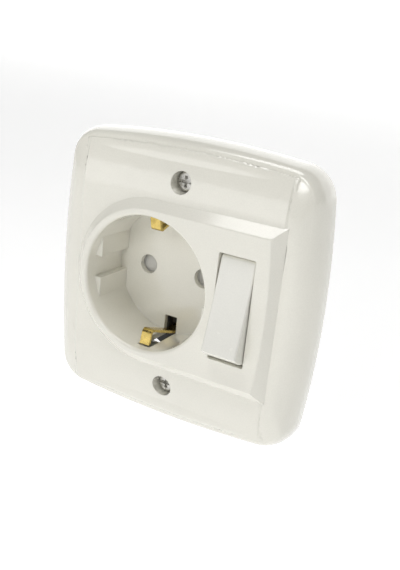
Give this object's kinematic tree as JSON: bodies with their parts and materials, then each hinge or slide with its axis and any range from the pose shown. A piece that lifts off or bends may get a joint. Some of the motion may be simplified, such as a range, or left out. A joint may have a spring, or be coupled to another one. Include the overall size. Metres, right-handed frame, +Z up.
{
  "type": "switched socket",
  "caption": "Flush wall socket outlet with a round earthed plug well and a rocker switch side by side under one bowed square cover.",
  "frame": {"origin": "middle of the cover's back rim, in the plane of the wall", "axes": "+X right seen from the front, +Z up, +Y into the wall, so the front faces -Y"},
  "size_m": [0.0836, 0.0461, 0.0834],
  "materials": {
    "cover_plastic": "glossy off-white moulded plastic",
    "rocker_plastic": "glossy off-white moulded plastic",
    "base_plastic": "matt dark insulating moulding",
    "shutter_plastic": "satin light moulded plastic",
    "dark_plastic": "matt dark moulded plastic",
    "zinc_steel": "zinc-plated pressed steel",
    "zinc_screw": "bright zinc-plated steel",
    "spring_steel": "drawn spring wire",
    "silver": "silver contact alloy",
    "brass": "rolled bright brass"
  },
  "bodies": {
    "housing": {"front_cover": "cover_plastic", "mounting_frame": "zinc_steel", "base": "base_plastic", "base_shell": "base_plastic", "pin_block": "base_plastic", "terminal_blocks": "base_plastic", "rear_cover": "base_plastic", "live_contact": "brass", "neutral_contact": "brass", "line_contact": "brass", "earth_strap": "brass", "fixed_tip": "silver", "fixing_screws": "zinc_screw", "base_screws": "zinc_screw", "rear_screws": "zinc_screw", "terminal_screws": "zinc_screw", "clamp_plates": "zinc_steel", "shutter_spring": "spring_steel"},
    "rocker": {"rocker": "rocker_plastic"},
    "plunger": {"plunger": "dark_plastic", "plunger_spring": "spring_steel"},
    "contact_rocker": {"contact_rocker": "brass", "moving_tip": "silver"},
    "shutter": {"shutter": "shutter_plastic"}
  },
  "joints": [
    {"name": "rocker_tilt", "type": "hinge", "parent": "housing", "child": "rocker", "pos_m": [0.02071, -0.0088, 0], "axis": [1, 0, 0], "range_deg": [0, 26.4]},
    {"name": "contact_tilt", "type": "hinge", "parent": "housing", "child": "contact_rocker", "pos_m": [0.02071, 0.00345, 0], "axis": [1, 0, 0], "range_deg": [-16, 0]},
    {"name": "plunger_slide", "type": "slide", "parent": "rocker", "child": "plunger", "axis": [0, -0.9736, 0.2284], "range_m": [0, 0.0008], "stiffness_N_per_m": 600, "deforming": ["plunger_spring"]},
    {"name": "shutter_turn", "type": "hinge", "parent": "housing", "child": "shutter", "pos_m": [-0.0074, 0.00735, 0], "axis": [0, 1, 0], "range_deg": [0, 42], "stiffness_Nm_per_rad": 0.004, "deforming": ["shutter_spring"]}
  ],
  "couplings": [
    {"joint": "contact_tilt", "follows": "rocker_tilt", "ratio": -0.606}
  ]
}
